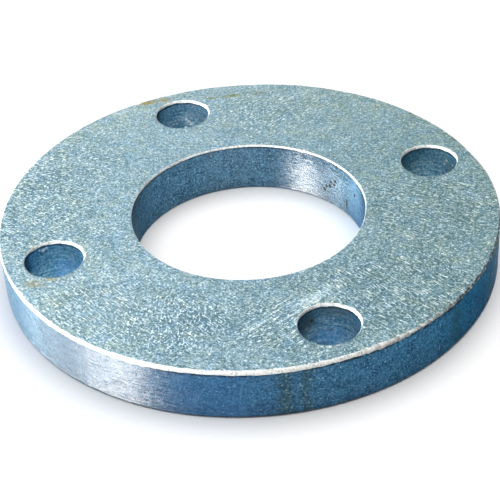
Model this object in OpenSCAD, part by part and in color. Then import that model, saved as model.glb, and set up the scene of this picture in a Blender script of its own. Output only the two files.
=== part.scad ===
// Slip-on plate flange. A flat steel ring slides over the end of a pipe and is welded to it,
// and bolts through its holes clamp it face to face with the next flange.
// Lengths are in millimetres and angles in degrees. The back face lies on Z = 0, centred on the
// origin, and the pipe runs along +Z.

/* [Ring] */
// Outside diameter of the ring
outer_d = 130; // [106:0.5:200]
// Thickness from the back face to the front face
thickness = 14; // [6:0.5:40]
// Bore diameter, a sliding clearance over a pipe of 60.5 outside diameter
bore_d = 61.1; // [10:0.1:86]

/* [Bolt holes] */
// Edge distance, from the rim in to the centres of the bolt holes
bolt_edge_distance = 12.5; // [9.5:0.25:25]
// Diameter of each bolt hole, with clearance for an M12 bolt
bolt_hole_d = 15; // [5:0.5:22]
// Number of bolt holes, evenly spaced
bolt_count = 4; // [4:4:16]

/* [Edges] */
// Chamfer round the outside of both faces
rim_chamfer = 0.8; // [0.1:0.1:4]
// Chamfer at both ends of the bore
bore_chamfer = 0.4; // [0.1:0.1:5]
// Chamfer at both ends of each bolt hole
bolt_hole_chamfer = 0.6; // [0.1:0.1:4]

/* [Hidden] */
$fn = 180;

// How far a cutter runs out past each face
overrun = 1;
// Diameter of the circle through the centres of the bolt holes
bolt_circle_d = outer_d - 2 * bolt_edge_distance;
// Angle from one bolt hole to the next
bolt_pitch_angle = 360 / bolt_count;
// The bolt holes straddle the centre lines, so the first is half a pitch from +X
first_bolt_angle = bolt_pitch_angle / 2;
steel = [0.64, 0.75, 0.78];

// Half section of the blank: a disc with both outer corners chamfered
module blank_section() {
    outer_r = outer_d / 2;
    polygon([
        [0, 0],
        [outer_r - rim_chamfer, 0],
        [outer_r, rim_chamfer],
        [outer_r, thickness - rim_chamfer],
        [outer_r - rim_chamfer, thickness],
        [0, thickness],
    ]);
}

// Half section of a cutter for a through hole: it flares at 45 degrees from the foot of each
// chamfer and runs on past both faces
module hole_section(hole_d, chamfer) {
    hole_r = hole_d / 2;
    mouth_r = hole_r + chamfer + overrun;
    polygon([
        [0, -overrun],
        [mouth_r, -overrun],
        [hole_r, chamfer],
        [hole_r, thickness - chamfer],
        [mouth_r, thickness + overrun],
        [0, thickness + overrun],
    ]);
}

// A through hole on the Z axis, chamfered at both ends
module chamfered_hole(hole_d, chamfer) {
    rotate_extrude() hole_section(hole_d, chamfer);
}

// Copies its children to every bolt position
module at_bolt_positions() {
    for (i = [0 : bolt_count - 1])
        rotate(first_bolt_angle + i * bolt_pitch_angle)
            translate([bolt_circle_d / 2, 0, 0])
                children();
}

module flange() {
    color(steel)
        difference() {
            rotate_extrude() blank_section();
            chamfered_hole(bore_d, bore_chamfer);
            at_bolt_positions() chamfered_hole(bolt_hole_d, bolt_hole_chamfer);
        }
}

flange();
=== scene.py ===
"""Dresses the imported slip-on flange: worn edges in mesh, ground and turned steel, light and camera."""

import math

import bmesh
import bpy
import numpy as np
from mathutils import Matrix, Vector, geometry


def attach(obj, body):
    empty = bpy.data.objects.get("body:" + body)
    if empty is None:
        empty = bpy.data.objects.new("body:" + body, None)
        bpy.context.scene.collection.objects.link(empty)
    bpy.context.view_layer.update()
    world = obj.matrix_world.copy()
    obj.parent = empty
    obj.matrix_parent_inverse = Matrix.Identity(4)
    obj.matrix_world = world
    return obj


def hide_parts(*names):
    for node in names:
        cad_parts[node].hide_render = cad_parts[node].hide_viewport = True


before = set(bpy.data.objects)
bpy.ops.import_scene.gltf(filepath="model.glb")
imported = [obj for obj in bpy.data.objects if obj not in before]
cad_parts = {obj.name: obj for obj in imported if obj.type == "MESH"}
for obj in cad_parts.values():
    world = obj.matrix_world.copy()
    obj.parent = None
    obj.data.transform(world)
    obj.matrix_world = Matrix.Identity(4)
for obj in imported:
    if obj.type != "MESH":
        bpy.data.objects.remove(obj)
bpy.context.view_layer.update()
scene = bpy.context.scene

MM = 0.001

# The flange's sizes in millimetres, as in the part's source
OUTER_R = 65.0
THICKNESS = 14.0
BORE_R = 30.55
BOLT_CIRCLE_R = 52.5
BOLT_HOLE_R = 7.5
BOLT_ANGLES = (45.0, 135.0, 225.0, 315.0)
RIM_CHAMFER = 0.8
BORE_CHAMFER = 0.4
BOLT_HOLE_CHAMFER = 0.6

# Plan angle in degrees from the row frame's +X to the camera's right, so that a place seen from the
# camera can be given by its bearing there: 0 right, 90 far, 180 left, 270 near
VIEW_TURN = 25.83

# The finishes, by their place in the mesh's list of materials
FACE, EDGE, RIM, BORE, HOLE = range(5)


# Mesh

# Points round each wall, and steps down it between its chamfers
RIM_COUNT = 1440
BORE_COUNT = 540
HOLE_COUNT = 156
WALL_STEPS = 5
# Spacing of the points on the flat faces, and their least distance from the holes and the rim, in mm
FACE_SPACING = 3.6
HOLE_MARGIN = 1.8
RIM_MARGIN = 0.6
# Points nearer than this, in mm, are one point
SAME_POINT = 1e-7

# Steps across a chamfer, and how far its middle stands out, as a share of its width
CHAMFER_STEPS = (0.0, 0.22, 0.5, 0.78, 1.0)
CROWN = 0.10
# Least and most width of a worn chamfer, as shares of the nominal one
LEAST_WORN = 0.2
MOST_WORN = 3.0
# How uneven the chamfers' widths are
RIM_SPREAD = 0.12
RIM_LOW_SPREAD = 0.10
BORE_SPREAD = 0.12
HOLE_SPREAD = 0.13
# Slow and quick unevenness of a chamfer: waves in one turn, from and to, and their shares
SLOW_WAVES = (2, 14)
QUICK_WAVES = (30, 160)
SLOW_SHARE = 0.6
QUICK_SHARE = 0.4
# Waves in one turn of a wall, from and to, and their depth in mm
WALL_WAVES = (5, 60)
RIM_WAVE = 0.006
BORE_WAVE = 0.005
HOLE_WAVE = 0.006

# Nicks in the rim's upper edge: bearing, half width in mm and depth in mm along the face
RIM_NICKS = (
    (283, 0.6, 0.25), (293, 0.5, 0.3), (296, 0.7, 0.4), (300.5, 0.4, 0.5), (303, 0.5, 0.35),
    (306.5, 0.7, 0.55), (309, 0.4, 0.5), (312, 0.5, 0.5), (316, 0.5, 0.45), (319.5, 0.4, 0.45),
    (323, 0.6, 0.4), (327, 0.5, 0.4), (331, 0.5, 0.4), (336, 0.6, 0.4), (341, 0.5, 0.35),
    (221, 0.5, 0.2), (252, 0.6, 0.2),
    (20, 0.8, 0.4), (62, 0.6, 0.3), (118, 0.9, 0.4), (155, 0.5, 0.3),
)
# A nick's depth down the wall, as a share of that along the face
NICK_DOWN = 0.7
# Narrow stretches of the upper chamfers: bearings from and to, degrees of easing, share of width left
RIM_WORN = ((308, 368, 10, 0.5), (120, 196, 14, 0.45), (206, 234, 10, 0.85))
BORE_WORN = ((175, 345, 30, 0.3),)
HOLE_WORN = ((175, 338, 45, 0.2),)

rng = np.random.default_rng(20)


def on_circle(radius, degrees):
    """A place in plan by its distance from the axis and its angle."""
    a = math.radians(degrees)
    return radius * math.cos(a), radius * math.sin(a)


BOLT_CENTRES = [on_circle(BOLT_CIRCLE_R, angle) for angle in BOLT_ANGLES]
BOLT_CENTRES_IN_VIEW = [on_circle(BOLT_CIRCLE_R, angle - VIEW_TURN) for angle in BOLT_ANGLES]


def turns(count):
    """The angles in radians of count points round a circle."""
    return np.arange(count) * 2 * math.pi / count


def wobble(count, slowest, fastest):
    """A closed run of smooth random values between those frequencies, with a spread of about 1."""
    turn = turns(count)
    total = np.zeros(count)
    waves = np.arange(slowest, fastest + 1)
    for wave in waves:
        total += rng.normal() * np.cos(wave * turn + rng.uniform(0, 2 * math.pi))
    return total / math.sqrt(len(waves) / 2)


def away_from(bearing, count):
    """Degrees from a bearing in the view to each of count points round a circle, -180 to 180."""
    return (np.degrees(turns(count)) - bearing - VIEW_TURN + 180) % 360 - 180


def nick_run(count, radius, nicks):
    """A closed run that is zero but for smooth bumps where the nicks are."""
    total = np.zeros(count)
    for bearing, half_width, depth in nicks:
        arc = np.radians(away_from(bearing, count)) * radius
        total += depth * np.exp(-((arc / half_width) ** 2))
    return total


def worn_span(count, start, end, soft):
    """A closed run that is 1 between two bearings and eases to 0 over soft degrees past them."""
    middle = (start + end) / 2
    half = (end - start) / 2
    t = np.clip((half + soft - np.abs(away_from(middle, count))) / soft, 0, 1)
    return t * t * (3 - 2 * t)


def chamfer_legs(count, radius, width, spread, nicks=(), worn=()):
    """Both legs of a worn chamfer round a wall: along the face, and down the wall."""
    nicked = nick_run(count, radius, nicks)
    base = np.full(count, width)
    for start, end, soft, left in worn:
        base *= 1 - (1 - left) * worn_span(count, start, end, soft)
    legs = []
    for share in (1.0, NICK_DOWN):
        slow = wobble(count, *SLOW_WAVES)
        quick = wobble(count, *QUICK_WAVES)
        drift = 1 + spread * (SLOW_SHARE * slow + QUICK_SHARE * quick)
        legs.append(np.clip(base * drift + share * nicked, LEAST_WORN * width, MOST_WORN * width))
    return legs


def across_chamfer(t):
    """The shares of a chamfer's two legs at t across it, 0 at the face and 1 at the wall."""
    bulge = CROWN * 4 * t * (1 - t)
    return max(1 - t - bulge, 0.0), max(t - bulge, 0.0)


class Wall:
    """A round wall about a vertical axis with a worn chamfer at each end, as rows of points.

    into is the sign of the way into the steel along the radius: -1 for a rim, 1 for a hole."""

    def __init__(self, centre, radius, into, material, wave, top, low):
        top_flat, top_deep = top
        low_flat, low_deep = low
        self.centre = centre
        self.count = len(top_flat)
        self.rows = []
        bands = len(CHAMFER_STEPS) - 1
        self.kinds = [EDGE] * bands + [material] * (WALL_STEPS + bands)
        for t in CHAMFER_STEPS:
            flat, deep = across_chamfer(t)
            self.add_row(radius + into * top_flat * flat, THICKNESS - top_deep * deep)
        high = THICKNESS - top_deep
        for i in range(1, WALL_STEPS):
            waves = wave * np.abs(wobble(self.count, *WALL_WAVES))
            self.add_row(radius + into * waves, high + (low_deep - high) * (i / WALL_STEPS))
        for t in CHAMFER_STEPS[::-1]:
            flat, deep = across_chamfer(t)
            self.add_row(radius + into * low_flat * flat, low_deep * deep)

    def add_row(self, radius, z):
        turn = turns(self.count)
        x = self.centre[0] + radius * np.cos(turn)
        y = self.centre[1] + radius * np.sin(turn)
        self.rows.append(np.stack([x, y, z], 1))


def make_walls():
    """The rim, the bore and the bolt holes, in that order."""
    walls = [
        Wall((0, 0), OUTER_R, -1, RIM, RIM_WAVE,
             chamfer_legs(RIM_COUNT, OUTER_R, RIM_CHAMFER, RIM_SPREAD, RIM_NICKS, RIM_WORN),
             chamfer_legs(RIM_COUNT, OUTER_R, RIM_CHAMFER, RIM_LOW_SPREAD)),
        Wall((0, 0), BORE_R, 1, BORE, BORE_WAVE,
             chamfer_legs(BORE_COUNT, BORE_R, BORE_CHAMFER, BORE_SPREAD, worn=BORE_WORN),
             chamfer_legs(BORE_COUNT, BORE_R, BORE_CHAMFER, BORE_SPREAD)),
    ]
    for centre in BOLT_CENTRES:
        walls.append(Wall(
            centre, BOLT_HOLE_R, 1, HOLE, HOLE_WAVE,
            chamfer_legs(HOLE_COUNT, BOLT_HOLE_R, BOLT_HOLE_CHAMFER, HOLE_SPREAD, worn=HOLE_WORN),
            chamfer_legs(HOLE_COUNT, BOLT_HOLE_R, BOLT_HOLE_CHAMFER, HOLE_SPREAD)))
    return walls


def inside(points, loop, centre):
    """Which points lie inside a loop that is star shaped about its centre."""
    away = points - np.array(centre)
    ring = loop - np.array(centre)
    turn = np.arctan2(ring[:, 1], ring[:, 0])
    order = np.argsort(turn)
    reach = np.interp(np.arctan2(away[:, 1], away[:, 0]), turn[order],
                      np.hypot(ring[:, 0], ring[:, 1])[order], period=2 * math.pi)
    return np.hypot(away[:, 0], away[:, 1]) < reach


def face_points():
    """Points spread over a flat face, clear of its edges, so that its triangles stay compact."""
    out = []
    first = BORE_R + BORE_CHAMFER + HOLE_MARGIN
    last = OUTER_R - RIM_CHAMFER - RIM_MARGIN
    for r in np.arange(first, last, FACE_SPACING):
        n = int(2 * math.pi * r / FACE_SPACING)
        for i in range(n):
            a = 2 * math.pi * (i + 0.5 * (len(out) % 2)) / n
            out.append((r * math.cos(a), r * math.sin(a)))
    out = np.array(out)
    for centre in BOLT_CENTRES:
        clear = BOLT_HOLE_R + BOLT_HOLE_CHAMFER + HOLE_MARGIN
        out = out[np.hypot(*(out - np.array(centre)).T) > clear]
    return out


class Build:
    """The flange's points and faces while it is put together, and each face's finish."""

    def __init__(self):
        self.points = []
        self.faces = []
        self.kinds = []

    def add_wall(self, wall):
        """Adds the wall's quads, and gives the numbers of the points in its top and low rows."""
        start = len(self.points)
        n = wall.count
        i = np.arange(n)
        j = (i + 1) % n
        for row, kind in enumerate(wall.kinds):
            a = start + row * n
            self.faces += np.stack([a + i, a + j, a + n + j, a + n + i], 1).tolist()
            self.kinds += [kind] * n
        for row in wall.rows:
            self.points += row.tolist()
        return range(start, start + n), range(len(self.points) - n, len(self.points))

    def add_face(self, rings, centres, spread, z):
        """Adds a flat face that fills the first ring round the others."""
        flat, index, edges = [], [], []
        for ring in rings:
            n = len(ring)
            edges += [(len(flat) + i, len(flat) + (i + 1) % n) for i in range(n)]
            flat += [Vector(self.points[i][:2]) for i in ring]
            index += ring
        start = len(self.points)
        flat += [Vector(p) for p in spread]
        index += range(start, start + len(spread))
        self.points += [(x, y, z) for x, y in spread]
        made, _, tris, source, _, _ = geometry.delaunay_2d_cdt(flat, edges, [], 0, SAME_POINT)
        tris = np.array(tris)
        middles = np.array([v[:] for v in made])[tris].mean(1)
        keep = np.ones(len(tris), bool)
        for k, (ring, centre) in enumerate(zip(rings, centres)):
            loop = np.array([self.points[i][:2] for i in ring])
            within = inside(middles, loop, centre)
            keep &= within if k == 0 else ~within
        for tri in tris[keep]:
            self.faces.append([index[source[v][0]] for v in tri])
            self.kinds.append(FACE)


def build_flange():
    walls = make_walls()
    build = Build()
    tops, lows = zip(*[build.add_wall(wall) for wall in walls])
    centres = [wall.centre for wall in walls]
    spread = face_points()
    build.add_face(tops, centres, spread, THICKNESS)
    build.add_face(lows, centres, spread, 0.0)
    mesh = bpy.data.meshes.new("flange_steel")
    mesh.from_pydata([Vector(p) * MM for p in build.points], [], build.faces)
    mesh.polygons.foreach_set("material_index", build.kinds)
    return mesh


def set_smooth_normals(mesh):
    """Area weighted normals, so that the flat faces stay flat and only the edges round over."""
    bm = bmesh.new()
    bm.from_mesh(mesh)
    bmesh.ops.recalc_face_normals(bm, faces=bm.faces)
    bm.to_mesh(mesh)
    bm.free()
    mesh.polygons.foreach_set("use_smooth", [True] * len(mesh.polygons))
    normals = np.zeros((len(mesh.vertices), 3))
    for poly in mesh.polygons:
        weighted = np.array(poly.normal) * poly.area
        for v in poly.vertices:
            normals[v] += weighted
    normals /= np.linalg.norm(normals, axis=1)[:, None]
    mesh.normals_split_custom_set_from_vertices(normals.tolist())


# Materials

# Places per mm along X, Y and Z in the noise of the turning and drilling marks
MARK_STRETCH = (0.3, 0.3, 40.0)
STREAK_STRETCH = (0.6, 0.6, 2.4)
TURNED_STRETCH = (0.12, 0.12, 2.2)
DRILLED_STRETCH = (0.2, 0.2, 2.2)
# Places per mm in the noise that breaks up the painted shadow line under the rim's chamfer
EDGE_SHADOW_STRETCH = (0.5, 0.5, 0.0)

# The share of a spot's reach that it fills before it fades, and how far noise tears its edge
SPOT_CORE = 0.35
SPOT_TEAR = 4
# The share of its depth that a painted shadow line under an edge fills before it fades
EDGE_SHADOW_CORE = 0.3


class Graph:
    """One procedural material. Each method adds nodes and returns the last one's output socket.

    mm is the place on the flange in millimetres, and view the same place turned to the view."""

    def __init__(self, name):
        self.material = bpy.data.materials.new(name)
        self.material.use_nodes = True
        self.tree = self.material.node_tree
        self.tree.nodes.clear()
        coords = self.tree.nodes.new("ShaderNodeTexCoord").outputs["Object"]
        self.mm = self.vector("MULTIPLY", coords, (1 / MM, 1 / MM, 1 / MM))
        self.view = self.turned(self.mm, VIEW_TURN)

    def feed(self, socket, value):
        """Links an output socket to an input, or sets the input to a plain value."""
        if isinstance(value, bpy.types.NodeSocket):
            self.tree.links.new(value, socket)
        else:
            socket.default_value = value

    def add(self, kind, inputs, out=0, **props):
        node = self.tree.nodes.new(kind)
        for key, value in props.items():
            setattr(node, key, value)
        for key, value in inputs.items():
            self.feed(node.inputs[key], value)
        return node.outputs[out]

    def math(self, op, a, b=0.0):
        return self.add("ShaderNodeMath", {0: a, 1: b}, operation=op)

    def times(self, first, *others):
        """The product of values."""
        for other in others:
            first = self.math("MULTIPLY", first, other)
        return first

    def plus(self, total, value, share):
        """The total with that share of a value added."""
        return self.math("ADD", total, self.times(value, share))

    def vector(self, op, a, b):
        return self.add("ShaderNodeVectorMath", {0: a, 1: b}, operation=op)

    def length(self, vector):
        return self.add("ShaderNodeVectorMath", {0: vector}, out="Value", operation="LENGTH")

    def part(self, vector, axis):
        return self.add("ShaderNodeSeparateXYZ", {0: vector}, out=axis)

    def turned(self, vector, degrees):
        """The vector as seen from axes that are turned by that much about Z."""
        return self.add("ShaderNodeVectorRotate", {
            "Vector": vector, "Angle": -math.radians(degrees)}, rotation_type="Z_AXIS")

    def shifted(self, by):
        """The place in mm, moved aside so that its noise is not the same."""
        return self.vector("ADD", self.mm, (by, -by, 2 * by))

    def ramp(self, value, start, end=(0.0, 1.0)):
        """The value eased from one range to another, and held past its ends."""
        return self.add("ShaderNodeMapRange", {
            "Value": value, "From Min": start[0], "From Max": start[1],
            "To Min": end[0], "To Max": end[1]}, interpolation_type="SMOOTHSTEP")

    def near(self, value, middle, core, reach, share):
        """That share where the value is within core of the middle, easing to 0 at reach from it."""
        away = self.math("ABSOLUTE", self.math("SUBTRACT", value, middle))
        return self.ramp(away, (core, reach), (share, 0.0))

    def noise(self, vector, scale=1.0, detail=2.0, roughness=0.5, out=0):
        return self.add("ShaderNodeTexNoise", {
            "Vector": vector, "Scale": scale, "Detail": detail, "Roughness": roughness}, out=out)

    def swing(self, vector, scale=1.0, detail=2.0, roughness=0.5):
        """Noise that swings about 0."""
        return self.math("SUBTRACT", self.noise(vector, scale, detail, roughness), 0.5)

    def mix(self, share, a, b, blend="MIX"):
        """Colours a to b by share."""
        node = self.tree.nodes.new("ShaderNodeMix")
        node.data_type = "RGBA"
        node.blend_type = blend
        for socket, value in (("Factor_Float", share), ("A_Color", a), ("B_Color", b)):
            self.feed(next(i for i in node.inputs if i.identifier == socket), value)
        return next(o for o in node.outputs if o.identifier == "Result_Color")

    def colours(self, value, stops):
        """A colour ramp with (place, colour) stops."""
        node = self.tree.nodes.new("ShaderNodeValToRGB")
        self.tree.links.new(value, node.inputs[0])
        marks = node.color_ramp.elements
        while len(marks) < len(stops):
            marks.new(0.5)
        for mark, (place, colour) in zip(marks, stops):
            mark.position = place
            mark.color = colour
        return node.outputs[0]

    def scratches(self, angle, length, width, cut):
        """White lines of about that length and width in mm, lying at angle degrees in the view.

        cut is the range of the noise from which they are drawn."""
        drawn = self.vector("MULTIPLY", self.turned(self.view, angle), (1 / length, 1 / width, 1.0))
        return self.ramp(self.noise(drawn, detail=1.0), cut)

    def patch(self, centre, reach, angle=0.0, ragged=0.0):
        """A ragged oval spot at a place in the view: 1 at its centre, 0 at reach mm from it.

        With two numbers for the centre it runs through the whole thickness."""
        flat = len(centre) == 2
        away = self.vector("SUBTRACT", self.view, (*centre, 0) if flat else centre)
        scale = [1 / r for r in reach] + [0] * flat
        far = self.length(self.vector("MULTIPLY", self.turned(away, angle), scale))
        tear = self.swing(self.mm, scale=1.1, detail=3.0, roughness=0.6)
        return self.ramp(self.plus(far, tear, ragged * SPOT_TEAR), (SPOT_CORE, 1.0), (1.0, 0.0))

    def bearing(self):
        """The bearing in the view, in degrees from -180 to 180."""
        turn = self.math("ARCTAN2", self.part(self.view, "Y"), self.part(self.view, "X"))
        return self.times(turn, math.degrees(1))

    def shade_below_edge(self, edge, depth):
        """1 on the stretch of wall just below a chamfer of that width, where a painted shadow falls, 0
        from depth mm under it.
        """
        top = THICKNESS - edge
        return self.ramp(self.part(self.mm, "Z"), (top - depth, top - EDGE_SHADOW_CORE * depth))

    def marked(self, colour, marks):
        """The colour with marks on it, each a centre, a reach, a colour and how much of it shows.

        The second output is how much of the steel they cover."""
        cover = 0.0
        for centre, reach, tint, share in marks:
            spot = self.times(self.patch(centre, reach, ragged=0.3), share)
            colour = self.mix(spot, colour, tint)
            cover = self.math("MAXIMUM", spot, cover)
        return colour, cover

    def bumped(self, height, depth_mm):
        """The surface's normal with that height drawn on it."""
        return self.add("ShaderNodeBump", {"Height": height, "Distance": depth_mm * MM, "Strength": 1.0})

    def grooved(self, normal, lean, tilt, grain):
        """A normal tipped up by lean, with turning marks too fine to draw one by one, and with grain."""
        marks = self.swing(self.vector("MULTIPLY", self.mm, MARK_STRETCH), detail=0.0)
        lift = self.math("ADD", self.times(marks, tilt), lean)
        tipped = self.vector("ADD", normal, self.add("ShaderNodeCombineXYZ", {"Z": lift}))
        place = self.vector("MULTIPLY", self.shifted(90), STREAK_STRETCH)
        streaks = self.noise(place, detail=1.0, out="Color")
        ways = self.vector("MULTIPLY", self.vector("SUBTRACT", streaks, (0.5, 0.5, 0.5)), grain)
        tipped = self.vector("ADD", tipped, ways)
        return self.add("ShaderNodeVectorMath", {0: tipped}, operation="NORMALIZE")

    def finish(self, colour, roughness, metallic, normal, **constants):
        inputs = {"Base Color": colour, "Roughness": roughness, "Metallic": metallic, "Normal": normal}
        shader = self.add("ShaderNodeBsdfPrincipled", {**inputs, **constants})
        output = self.tree.nodes.new("ShaderNodeOutputMaterial")
        self.tree.links.new(shader, output.inputs["Surface"])
        return self.material


def rgba(r, g, b):
    """A colour given as it looks on a screen, 0 to 255, as linear light."""
    def linear(v):
        v /= 255
        return v / 12.92 if v <= 0.04045 else ((v + 0.055) / 1.055) ** 2.4
    return (linear(r), linear(g), linear(b), 1.0)


# Colours of the steel, as places on the finish's own grain from dark to light
GROUND_SHADES = (
    (0.0, rgba(75, 106, 117)), (0.25, rgba(116, 145, 154)), (0.50, rgba(156, 179, 186)),
    (0.75, rgba(201, 218, 225)), (1.0, rgba(240, 250, 255)),
)
RIM_SHADES = ((0.36, rgba(20, 68, 98)), (0.64, rgba(66, 118, 152)))
RIM_GRIT = ((0.40, rgba(26, 44, 46)), (0.58, rgba(58, 86, 86)), (0.70, rgba(170, 196, 200)))
BORE_SHADES = ((0.36, rgba(36, 78, 102)), (0.64, rgba(84, 132, 162)))
HOLE_SHADES = ((0.34, rgba(80, 136, 167)), (0.5, rgba(143, 196, 215)), (0.66, rgba(236, 252, 248)))
EDGE_SHADES = ((0.30, rgba(146, 160, 162)), (0.42, rgba(214, 217, 214)), (0.55, rgba(247, 246, 241)))
EDGE_GRIT = ((0.40, rgba(18, 34, 40)), (0.52, rgba(54, 74, 78)), (0.66, rgba(200, 212, 210)))
# A tint multiplied over each bolt hole's wall, in the order of the bolt angles: right, far, left and near
# in the view
HOLE_TINTS = (rgba(216, 223, 230), rgba(254, 248, 255), rgba(220, 240, 255), rgba(196, 209, 224))
# Painted shade: each bolt hole's wall darkened on its left, most at its left end
HOLE_LEFT_PAINTED_SHADE = rgba(220, 222, 218)
HOLE_END_PAINTED_SHADE = rgba(140, 158, 156)
# Painted light: the face's right side, away from the cool side lamp, tinted less blue
RIGHT_PAINTED_TINT = (1.0, 1.0, 0.92, 1.0)
# How red, green and blue follow a warm place on the ground faces
WARM_AXIS = (0.36, 0.06, -0.36)
# Painted shade on the face along the near edge of each bolt hole
HOLE_NEAR_EDGE_PAINTED_SHADE = rgba(48, 80, 94)
TURNED_SPECKS = rgba(160, 196, 220)
RIM_OLIVE = rgba(44, 78, 80)
# Painted reflection: a lighter blue on the rim just past its highlight
RIM_PAINTED_NEAR_REFLECTION = rgba(70, 124, 186)
# Painted reflection: a deeper blue on the rim's left end
RIM_PAINTED_LEFT_REFLECTION = rgba(28, 92, 148)
# Painted shadow under the rim's top chamfer
RIM_PAINTED_EDGE_SHADOW = rgba(14, 26, 36)
# Painted reflection: the bore's wall lighter and bluer on its right
BORE_PAINTED_REFLECTION = rgba(92, 150, 200)
# Painted shadow under the bore's top chamfer
BORE_PAINTED_EDGE_SHADOW = rgba(20, 40, 56)
# Painted shadow under the bolt holes' top chamfers
HOLE_PAINTED_EDGE_SHADOW = rgba(24, 44, 56)
# Tints of the turned walls where they are seen at a slant
RIM_SLANT = rgba(138, 166, 178)
BORE_SLANT = rgba(168, 172, 176)
RUST = rgba(154, 134, 48)
OLIVE = rgba(120, 120, 52)
DIRT = rgba(88, 82, 40)
WHITE = rgba(252, 252, 250)

# How metallic the worn, scattering faces and edges are, and the walls
DULL_METAL = 0.1
FULL_METAL = 1.0

# How far each layer of the ground finish moves its shade, and the shade that they move
GRAIN_SHARE = 1.05
CLOUD_SHARE = 0.42
STROKE_SHARE = 0.95
LONG_STROKE_SHARE = 0.8
SMEAR_SHARE = 0.44
MEAN_SHADE = 0.41
# How much of the strokes shows away from their own places, and their mean
STROKE_FLOOR = 0.32
STROKE_MEAN = 0.12

# Strokes of the grinding: their direction in the view, length, width and where they show most
STROKES = (
    (-32, 1.7, 0.33, (((48, -4), (26, 26)), ((-56, 4), (18, 28)))),
    (-52, 2.2, 0.34, (((32, -38), (32, 24)), ((-40, -40), (24, 24)), ((-15, -46), (18, 15)))),
    (38, 1.6, 0.42, (((8, -48), (20, 14)), ((5, 48), (30, 16)))),
    (80, 1.3, 0.45, (((-20, -45), (20, 16)),)),
    (8, 1.5, 0.36, (((-50, 25), (24, 24)),)),
)

# Stains on the front face, and a burr painted white as its glint: place in the view, reach, angle, colour
# and how much of it shows
STAINS = (
    ((-27.5, 57.3), (4.6, 1.6), 8, RUST, 0.95),
    ((-22.3, 58.4), (3.0, 1.4), 10, RUST, 0.9),
    ((-8.5, 57.8), (3.4, 0.8), 2, OLIVE, 0.85),
    ((-2.6, 58.4), (4.8, 1.0), 6, OLIVE, 0.9),
    ((5.0, 58.9), (2.6, 1.0), 6, OLIVE, 0.6),
    ((-53.6, -27.0), (3.6, 2.1), -20, RUST, 0.55),
    ((-50.2, -25.4), (2.4, 1.4), 0, RUST, 0.55),
    # A burr at the near bolt hole's edge, painted white as its glint
    ((16.5, -57.5), (1.0, 0.6), 0, WHITE, 0.9),
    ((18.5, -57.2), (0.8, 0.5), 0, WHITE, 0.9),
)

# Dark bands on the rim: bearing and half width in degrees
RIM_BANDS = ((-84.7, 1.7), (-80.5, 1.2))

# Marks on the walls, among them painted glints and painted light in the holes: place in the view and in
# height, reach, colour and how much of it shows
BORE_MARKS = (
    ((24.2, 18.6, 8.2), (0.7, 0.7, 0.7), DIRT, 0.95),
    ((23.9, 19.0, 6.9), (0.6, 0.6, 0.6), DIRT, 0.85),
    ((23.2, 19.9, 7.2), (0.6, 0.6, 0.7), DIRT, 0.9),
    ((22.8, 20.3, 5.8), (0.8, 0.8, 0.7), DIRT, 0.95),
    ((22.0, 21.2, 5.2), (0.6, 0.6, 0.6), DIRT, 0.85),
    ((21.5, 21.7, 3.9), (0.7, 0.7, 0.7), DIRT, 0.9),
    ((28.7, 10.4, 8.8), (0.7, 0.7, 0.7), rgba(96, 70, 96), 0.8),
    ((26.9, 14.4, 3.2), (0.5, 0.5, 2.4), rgba(30, 60, 84), 0.6),
)
HOLE_MARKS = (
    ((-18.6, 56.9, 5.6), (3.4, 3.4, 2.4), rgba(60, 104, 122), 0.5),
    # Painted glints: white specks on the far hole's wall
    ((-16.6, 57.0, 7.8), (0.6, 0.6, 0.6), WHITE, 1.0),
    ((-16.0, 57.0, 7.1), (0.7, 0.7, 0.6), WHITE, 1.0),
    ((-15.3, 56.9, 6.3), (0.7, 0.7, 0.7), WHITE, 1.0),
    ((-17.0, 57.1, 5.0), (0.6, 0.6, 0.6), WHITE, 1.0),
    # Painted glints: white specks high on the left hole's wall, with dark dirt beside them
    ((-53.1, -10.6, 12.2), (0.8, 0.8, 0.7), WHITE, 1.0),
    ((-52.2, -10.1, 12.6), (0.5, 0.5, 0.5), WHITE, 0.9),
    ((-53.9, -11.2, 12.5), (0.5, 0.5, 0.5), WHITE, 0.9),
    ((-53.6, -10.9, 11.5), (0.5, 0.5, 0.6), DIRT, 0.7),
    ((-52.4, -10.3, 11.7), (0.5, 0.5, 0.5), DIRT, 0.6),
    # Painted light: a brighter blue low on the left hole's wall
    ((-46.5, -11.0, 5.0), (7.0, 7.0, 6.0), rgba(128, 190, 250), 0.35),
    # Painted glints: white specks on the right hole's wall
    ((55.2, 22.2, 10.5), (0.6, 0.6, 0.6), WHITE, 0.9),
    ((56.5, 20.1, 10.1), (0.6, 0.6, 0.6), WHITE, 0.9),
    ((54.6, 22.7, 9.0), (0.5, 0.5, 0.5), WHITE, 0.8),
    # Patches on the near hole's wall
    ((18.6, -42.2, 12.2), (5.0, 5.0, 2.6), rgba(104, 122, 116), 0.45),
    ((12.4, -44.4, 10.4), (3.6, 3.6, 3.6), rgba(86, 104, 100), 0.75),
    ((13.4, -43.1, 9.9), (0.7, 0.7, 0.7), rgba(60, 52, 52), 0.9),
    ((12.0, -44.2, 8.6), (0.9, 0.9, 0.5), rgba(150, 165, 150), 0.7),
    # Painted light: a brighter blue low on the near hole's wall
    ((18.0, -42.3, 4.2), (6.0, 6.0, 4.2), rgba(88, 148, 204), 0.45),
    ((18.0, -42.1, 6.3), (1.1, 1.1, 0.6), rgba(96, 96, 110), 0.6),
)


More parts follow.
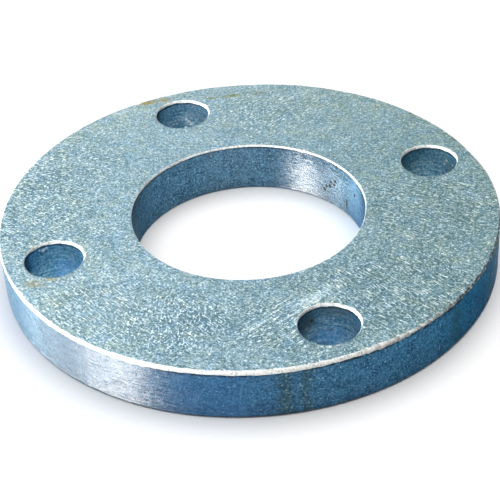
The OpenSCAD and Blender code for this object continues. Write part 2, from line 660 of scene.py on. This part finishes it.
def ground_value(g, x, y, front):
    """The ground finish from 0 dark to 1 light: grain, cloud, specks, pits, strokes and smears, with
    painted light and shade across the face.
    """
    grain = g.swing(g.shifted(20), scale=1.9, detail=1.0)
    cloud = g.swing(g.mm, scale=0.14, detail=3.0, roughness=0.6)
    specks = g.ramp(g.noise(g.shifted(40), scale=2.0, detail=1.0), (0.58, 0.72))
    pits = g.ramp(g.noise(g.shifted(80), scale=1.7, detail=1.0), (0.56, 0.72))
    value = g.plus(g.times(grain, GRAIN_SHARE), cloud, CLOUD_SHARE)
    value = g.plus(value, specks, g.ramp(x, (-50, 30), (0.38, 0.55)))
    value = g.math("SUBTRACT", value, g.times(pits, g.ramp(x, (-50, 30), (0.34, 0.22))))
    for angle, length, width, places in STROKES:
        short = g.scratches(angle, length, width, cut=(0.58, 0.70))
        long = g.scratches(angle + 5, length=6.5, width=0.32, cut=(0.66, 0.74))
        strokes = g.math("SUBTRACT", g.plus(short, long, LONG_STROKE_SHARE), STROKE_MEAN)
        share = STROKE_FLOOR
        for centre, reach in places:
            share = g.math("MAXIMUM", share, g.patch(centre, reach, ragged=0.1))
        value = g.plus(value, g.times(strokes, share), STROKE_SHARE)
    smears = g.scratches(41, length=24, width=1.15, cut=(0.47, 0.64))
    smeared = g.patch((9, -44.5), (19, 8), angle=42, ragged=0.15)
    value = g.plus(value, g.times(smears, smeared, front), SMEAR_SHARE)
    sharper = g.times(g.ramp(x, (-60, -25), (0.24, 0.0)), g.ramp(y, (-25, 5)))
    contrast = g.math("ADD", g.ramp(y, (-30, 45), (0.9, 0.68)), sharper)
    # Painted shade and light: darker towards the right, lighter towards the far side and at the near left
    along = g.math("SUBTRACT", g.times(x, 0.9), g.times(y, 0.42))
    painted_shading = g.times(g.ramp(along, (-45, 60)), -0.065)
    painted_shading = g.math("ADD", painted_shading, g.ramp(y, (20, 60), (0.0, 0.045)))
    painted_shading = g.plus(painted_shading, g.patch((-38, -38), (32, 26), ragged=0.1), 0.06)
    return g.math("ADD", g.times(value, contrast), g.math("ADD", painted_shading, MEAN_SHADE))


def ground_steel():
    g = Graph("ground_steel")
    x, y = g.part(g.view, "X"), g.part(g.view, "Y")
    front = g.ramp(g.part(g.mm, "Z"), (0.4 * THICKNESS, 0.6 * THICKNESS))
    value = ground_value(g, x, y, front)
    colour = g.colours(value, GROUND_SHADES)
    warm = g.swing(g.shifted(110), scale=0.34)
    warm_ends = g.math("ADD", g.ramp(x, (-60, -10), (0.09, -0.02)), g.ramp(y, (30, 55), (0.0, 0.09)))
    warm = g.vector("MULTIPLY", g.math("ADD", warm, warm_ends), WARM_AXIS)
    colour = g.vector("MULTIPLY", colour, g.vector("ADD", warm, (1.0, 1.0, 1.0)))
    # Painted light: the face tinted less blue towards its right
    colour = g.mix(g.ramp(x, (-20, 60)), colour, RIGHT_PAINTED_TINT, "MULTIPLY")
    patchy = g.ramp(g.noise(g.shifted(15), scale=1.8, detail=1.0), (0.38, 0.58), (0.4, 1.0))
    for centre, reach, angle, tint, share in STAINS:
        stain = g.times(g.patch(centre, reach, angle, ragged=0.3), share)
        colour = g.mix(g.times(stain, patchy, front), colour, tint)
    # Painted shade: the face darkened along the near edge of each bolt hole
    for centre in BOLT_CENTRES_IN_VIEW:
        away = g.vector("MULTIPLY", g.vector("SUBTRACT", g.view, (*centre, 0)), (1, 1, 0))
        ring = g.ramp(g.length(away), (BOLT_HOLE_R + 0.1, BOLT_HOLE_R + 0.6), (0.6, 0.0))
        near_side = g.ramp(g.part(away, "Y"), (-2, 2), (1.0, 0.0))
        colour = g.mix(g.times(ring, near_side, front), colour, HOLE_NEAR_EDGE_PAINTED_SHADE)
    return g.finish(colour, g.ramp(value, (0.1, 0.9), (0.84, 0.64)), DULL_METAL, g.bumped(value, 0.02))


def turned_steel(name, shades, speckled):
    """A turned wall's graph, colour, roughness and normal, before its own marks.

    speckled is the noise at which specks begin to show."""
    g = Graph(name)
    grain = g.noise(g.mm, scale=1.9, detail=1.0, roughness=0.6)
    lines = g.noise(g.vector("MULTIPLY", g.mm, TURNED_STRETCH), detail=3.0, roughness=0.6)
    cloud = g.swing(g.shifted(70), scale=0.4, roughness=0.6)
    value = g.plus(g.plus(g.times(grain, 0.8), lines, 0.2), cloud, 0.3)
    specks = g.ramp(g.noise(g.shifted(30), scale=2.1, detail=0.0), (speckled, speckled + 0.12))
    colour = g.mix(g.times(specks, 0.5), g.colours(value, shades), TURNED_SPECKS)
    return g, colour, g.ramp(value, (0.36, 0.64), (0.40, 0.28)), g.bumped(value, 0.045)


def turned_finish(g, colour, roughness, normal, lean, slant_tint, coat_ior):
    """Deep blue metal under clear, neutral turning marks that lean up by that much."""
    base_normal = g.grooved(normal, lean=0.0, tilt=0.3, grain=(0, 0, 0))
    return g.finish(colour, roughness, FULL_METAL, base_normal, **{
        "Specular Tint": slant_tint,
        "Coat Weight": 1.0,
        "Coat IOR": coat_ior,
        "Coat Roughness": 0.26,
        "Coat Normal": g.grooved(normal, lean, tilt=1.3, grain=(0.2, 0.2, 0.6)),
    })


def rim_steel():
    g, colour, roughness, normal = turned_steel("rim_steel", RIM_SHADES, speckled=0.70)
    bearing = g.bearing()
    place = g.plus(bearing, g.swing(g.mm, scale=0.8, detail=3.0, roughness=0.7), 6.0)
    grit = g.colours(g.noise(g.shifted(60), scale=1.5, roughness=0.6), RIM_GRIT)
    for middle, half in RIM_BANDS:
        colour = g.mix(g.near(place, middle, 0.2 * half, 1.5 * half, share=0.55), colour, grit)
    colour = g.mix(g.near(place, -42.5, core=0.5, reach=3.0, share=0.4), colour, RIM_OLIVE)
    # Painted reflection: the rim lighter and bluer just past its highlight, towards the near side
    colour = g.mix(g.near(bearing, -101, core=4, reach=16, share=0.24), colour, RIM_PAINTED_NEAR_REFLECTION)
    # Painted reflection: the rim's left end mixed towards a deeper blue
    colour = g.mix(g.near(place, -159, core=2, reach=18, share=0.5), colour, RIM_PAINTED_LEFT_REFLECTION)
    # Painted shadow: a broken dark line under the rim's top chamfer, on the near side
    broken = g.ramp(g.noise(g.vector("MULTIPLY", g.mm, EDGE_SHADOW_STRETCH), detail=3.0), (0.35, 0.6))
    front = g.near(bearing, -75, core=30, reach=42, share=1.0)
    line = g.times(g.shade_below_edge(RIM_CHAMFER, depth=0.8), broken, front)
    colour = g.mix(g.times(line, 0.85), colour, RIM_PAINTED_EDGE_SHADOW)
    lean = g.ramp(bearing, (-55, -20), (0.80, 1.3))
    return turned_finish(g, colour, roughness, normal, lean, RIM_SLANT, coat_ior=1.6)


def bored_steel():
    g, colour, roughness, normal = turned_steel("bored_steel", BORE_SHADES, speckled=0.66)
    # Painted reflection: the bore's wall mixed lighter and bluer on its right side
    colour = g.mix(g.near(g.bearing(), 10, core=6, reach=22, share=0.6), colour, BORE_PAINTED_REFLECTION)
    # Painted shadow: a dark line under the bore's top chamfer
    line = g.shade_below_edge(BORE_CHAMFER, depth=0.7)
    colour = g.mix(g.times(line, 0.6), colour, BORE_PAINTED_EDGE_SHADOW)
    colour, cover = g.marked(colour, BORE_MARKS)
    lean = g.ramp(g.part(g.mm, "Z"), (7, 13), (0.80, 0.98))
    # Under a mark the coat leans down, so that no highlight hides it
    lean = g.ramp(cover, (0.0, 0.6), (lean, -0.6))
    return turned_finish(g, colour, roughness, normal, lean, BORE_SLANT, coat_ior=1.69)


def drilled_steel():
    g = Graph("drilled_steel")
    grain = g.noise(g.mm, scale=1.6, roughness=0.6)
    lines = g.noise(g.vector("MULTIPLY", g.mm, DRILLED_STRETCH), roughness=0.6)
    value = g.plus(g.times(grain, 0.55), lines, 0.45)
    colour = g.colours(value, HOLE_SHADES)
    for (x, y), tint in zip(BOLT_CENTRES_IN_VIEW, HOLE_TINTS):
        colour = g.mix(g.patch((x, y), (22, 22)), colour, tint, "MULTIPLY")
        # Painted shade: the hole's wall darkened on its left, most at its left end
        left = g.patch((x - 6, y + 1), (11, 14), ragged=0.1)
        colour = g.mix(left, colour, HOLE_LEFT_PAINTED_SHADE, "MULTIPLY")
        end = g.patch((x - BOLT_HOLE_R, y), (2.6, 5.0), ragged=0.1)
        colour = g.mix(end, colour, HOLE_END_PAINTED_SHADE, "MULTIPLY")
    # Painted shadow: a dark line under each bolt hole's top chamfer
    line = g.shade_below_edge(0.5 * BOLT_HOLE_CHAMFER, depth=1.2)
    colour = g.mix(g.times(line, 0.75), colour, HOLE_PAINTED_EDGE_SHADOW)
    colour, _ = g.marked(colour, HOLE_MARKS)
    return g.finish(colour, g.ramp(value, (0.34, 0.66), (0.52, 0.38)), FULL_METAL, g.bumped(value, 0.03))


def bright_steel():
    g = Graph("bright_steel")
    grain = g.noise(g.mm, scale=1.7, detail=3.0, roughness=0.6)
    grit = g.colours(g.noise(g.shifted(50), scale=1.3, roughness=0.6), EDGE_GRIT)
    bearing = g.bearing()
    low = g.ramp(g.part(g.mm, "Z"), (THICKNESS - 0.6, THICKNESS - 0.2), (1.0, 0.0))
    chipped = g.near(bearing, -27, core=22, reach=48, share=0.85)
    dulled = g.near(bearing, -90, core=14, reach=34, share=0.26)
    chipped = g.times(g.math("MAXIMUM", chipped, dulled), low)
    scuffed = g.math("MAXIMUM", g.near(bearing, -27, core=12, reach=32, share=0.9), chipped)
    far = g.length(g.vector("MULTIPLY", g.mm, (1, 1, 0)))
    on_rim = g.ramp(far, (OUTER_R - 3, OUTER_R - 2))
    colour = g.mix(g.times(scuffed, on_rim), g.colours(grain, EDGE_SHADES), grit)
    return g.finish(colour, g.ramp(grain, (0.30, 0.55), (0.80, 0.62)), DULL_METAL, g.bumped(grain, 0.04))


mesh = build_flange()
set_smooth_normals(mesh)
for material in (
    ground_steel(),
    bright_steel(),
    rim_steel(),
    bored_steel(),
    drilled_steel(),
):
    mesh.materials.append(material)
flange = bpy.data.objects.new("flange_steel", mesh)
scene.collection.objects.link(flange)
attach(flange, "root")
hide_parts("flange")


# Floor, light and camera

AIM = Vector((0, 0, THICKNESS / 2 * MM))
FLOOR_REACH = 4.0
FLOOR_COLOUR = (0.95, 0.95, 0.95, 1)
WORLD_STRENGTH = 0.14
SOFT_BLUE = (0.84, 0.94, 1.0)
COOL_BLUE = (0.48, 0.8, 1.0)


def view_place(bearing, height_angle, distance):
    """A place by its bearing in the view, its angle above the floor and its distance in metres."""
    a = math.radians(bearing + VIEW_TURN)
    e = math.radians(height_angle)
    return Vector((math.cos(a) * math.cos(e), math.sin(a) * math.cos(e), math.sin(e))) * distance


def lit_alone(name, obj):
    """A collection that keeps a lamp's light to one object."""
    group = bpy.data.collections.new(name)
    group.objects.link(obj)
    return group


def lamp(name, place, size, radiance, receivers, colour=(1, 1, 1)):
    """An area lamp at a bearing, height angle and distance, aimed at the flange's middle."""
    light = bpy.data.lights.new(name, "AREA")
    light.shape = "RECTANGLE"
    light.size, light.size_y = size
    light.color = colour
    light.energy = radiance * size[0] * size[1] * math.pi
    obj = bpy.data.objects.new(name, light)
    obj.location = AIM + view_place(*place)
    obj.rotation_euler = (AIM - obj.location).to_track_quat("-Z", "Y").to_euler()
    scene.collection.objects.link(obj)
    obj.light_linking.receiver_collection = receivers


def make_floor():
    look = bpy.data.materials.new("floor_paper")
    look.use_nodes = True
    paper = look.node_tree.nodes["Principled BSDF"].inputs
    paper["Base Color"].default_value = FLOOR_COLOUR
    paper["Roughness"].default_value = 1.0
    paper["Specular IOR Level"].default_value = 0.0
    r = FLOOR_REACH
    plane = bpy.data.meshes.new("floor")
    plane.from_pydata([(-r, -r, 0), (r, -r, 0), (r, r, 0), (-r, r, 0)], [], [(0, 1, 2, 3)])
    plane.materials.append(look)
    obj = bpy.data.objects.new("floor", plane)
    scene.collection.objects.link(obj)
    return obj


floor = make_floor()

only_flange = lit_alone("lit_by_side_lamps", flange)
only_floor = lit_alone("lit_by_overhead", floor)
lamp("side_bright", (210, 29, 0.6), size=(0.22, 0.22), radiance=27, receivers=only_flange)
lamp("side_soft", (184, 17, 0.6), size=(0.36, 0.28), radiance=9, receivers=only_flange, colour=SOFT_BLUE)
lamp("side_cool", (157, 13, 0.6), size=(0.42, 0.26), radiance=8.3, receivers=only_flange, colour=COOL_BLUE)
lamp("top_front", (290, 60, 0.7), size=(0.5, 0.35), radiance=0.55, receivers=only_flange)
lamp("top_soft", (85, 64, 0.8), size=(0.7, 0.7), radiance=1.35, receivers=only_flange)
lamp("overhead", (100, 86, 3.6), size=(4.4, 4.4), radiance=3.15, receivers=only_floor)

world = bpy.data.worlds.new("studio")
world.use_nodes = True
background = world.node_tree.nodes["Background"].inputs
background["Color"].default_value = (1, 1, 1, 1)
background["Strength"].default_value = WORLD_STRENGTH
scene.world = world

# The camera stands where the photograph's perspective puts it: degrees, and millimetres
CAMERA_ELEVATION = 36.31
CAMERA_ROLL = 3.524
CAMERA_DISTANCE = 384.96
CAMERA_SHIFT = (-0.107, -5.263)
CAMERA_LENS = 105.04
CAMERA_SENSOR = 36.0
# Nearest distance drawn, in metres
CLIP_START = 0.01


def place_camera():
    e, r, t = (math.radians(v) for v in (CAMERA_ELEVATION, CAMERA_ROLL, VIEW_TURN))
    forward = Vector((0, math.cos(e), -math.sin(e)))
    right = Vector((1, 0, 0))
    down = forward.cross(right)
    rolled_right = right * math.cos(r) + down * math.sin(r)
    rolled_down = down * math.cos(r) - right * math.sin(r)
    eye = -(rolled_right * CAMERA_SHIFT[0] + rolled_down * CAMERA_SHIFT[1] + forward * CAMERA_DISTANCE)
    turn = Matrix.Rotation(t, 3, "Z")
    axes = Matrix((rolled_right, -rolled_down, -forward)).transposed()
    data = bpy.data.cameras.new("camera")
    data.lens = CAMERA_LENS
    data.sensor_width = CAMERA_SENSOR
    data.clip_start = CLIP_START
    camera = bpy.data.objects.new("camera", data)
    camera.matrix_world = Matrix.Translation(turn @ eye * MM + AIM) @ (turn @ axes).to_4x4()
    scene.collection.objects.link(camera)
    scene.camera = camera


place_camera()
scene.view_settings.view_transform = "Standard"
